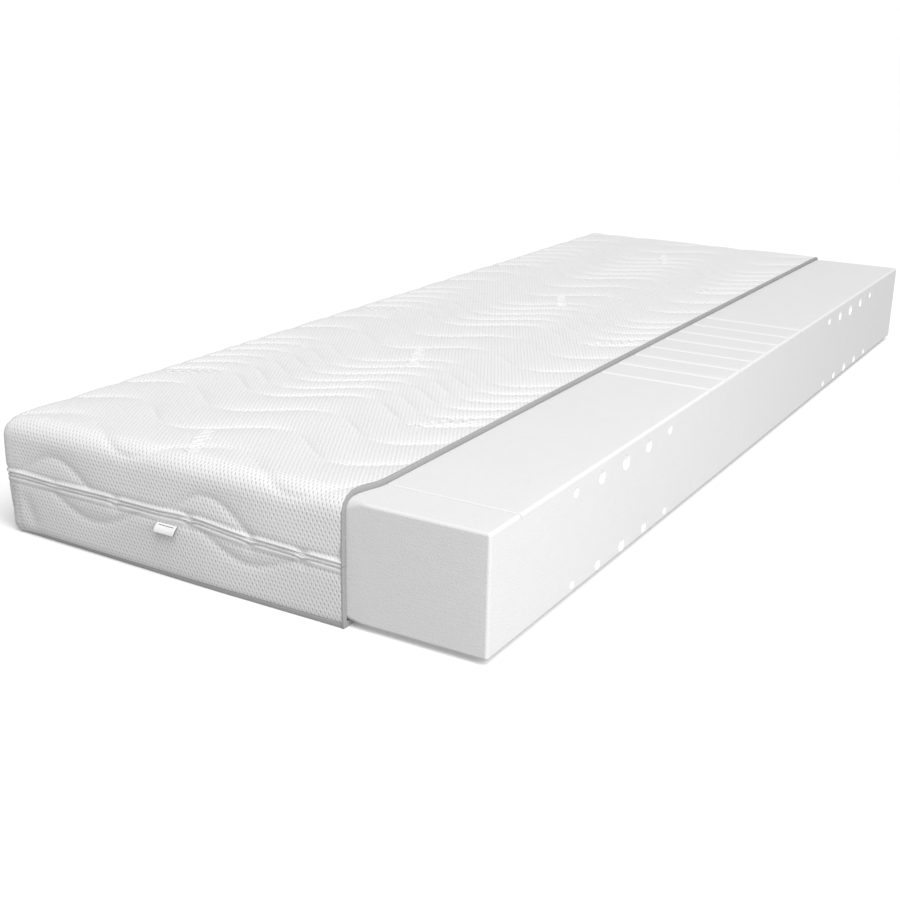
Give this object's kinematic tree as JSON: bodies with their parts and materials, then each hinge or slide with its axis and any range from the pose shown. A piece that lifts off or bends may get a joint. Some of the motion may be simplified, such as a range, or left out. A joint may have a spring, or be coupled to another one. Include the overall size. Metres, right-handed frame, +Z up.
{
  "type": "foam mattress",
  "caption": "Single foam mattress with a zipped quilted knit cover, cut away along one long side to show the bare foam core",
  "frame": {"origin": "on the underside of the base panel, at the middle of the mattress's footprint", "axes": "+X across the mattress from the closed long side of the cover to the bare foam side, +Y along it, +Z up out of the sleeping surface"},
  "size_m": [0.8056, 2.0119, 0.18],
  "materials": {
    "memory_foam": "matte",
    "support_foam": "matte",
    "white_knit": "matte",
    "quilt_wadding": "matte",
    "inner_lining": "matte",
    "grey_fabric": "matte",
    "zip_tape": "matte",
    "zip_coil": "satin",
    "zip_metal": "satin",
    "label_satin": "satin"
  },
  "bodies": {
    "cover": {"upper_cover_knit": "white_knit", "upper_cover_wadding": "quilt_wadding", "upper_cover_lining": "inner_lining", "lower_cover_knit": "white_knit", "lower_cover_wadding": "quilt_wadding", "lower_cover_lining": "inner_lining", "base_panel_fabric": "grey_fabric", "base_panel_wadding": "quilt_wadding", "base_panel_lining": "inner_lining", "base_edge_binding": "grey_fabric", "upper_cut_edge_binding": "grey_fabric", "lower_cut_edge_binding": "grey_fabric", "upper_zip_tape": "zip_tape", "lower_zip_tape": "zip_tape", "upper_zip_coil": "zip_coil", "lower_zip_coil": "zip_coil"},
    "core": {"memory_foam_layer": "memory_foam", "support_foam_core": "support_foam"},
    "slider": {"zip_slider_body": "zip_metal"},
    "pull": {"zip_pull_tab": "zip_metal"},
    "label": {"care_label": "label_satin"}
  },
  "joints": [
    {"name": "sleeve_slip", "type": "slide", "parent": "cover", "child": "core", "axis": [1, 0, 0], "range_m": [0, 0.4]},
    {"name": "zip_travel", "type": "slide", "parent": "cover", "child": "slider", "axis": [0, 1, 0], "range_m": [0, 1.82]},
    {"name": "pull_swing", "type": "hinge", "parent": "slider", "child": "pull", "pos_m": [-0.4033, -0.9, 0.0905], "axis": [0, 0, -1], "range_deg": [0, 175]},
    {"name": "label_flap", "type": "hinge", "parent": "cover", "child": "label", "pos_m": [-0.087, -1.0007, 0.0797], "axis": [-1, 0, 0], "range_deg": [-25, 70], "stiffness_Nm_per_rad": 0.002}
  ]
}
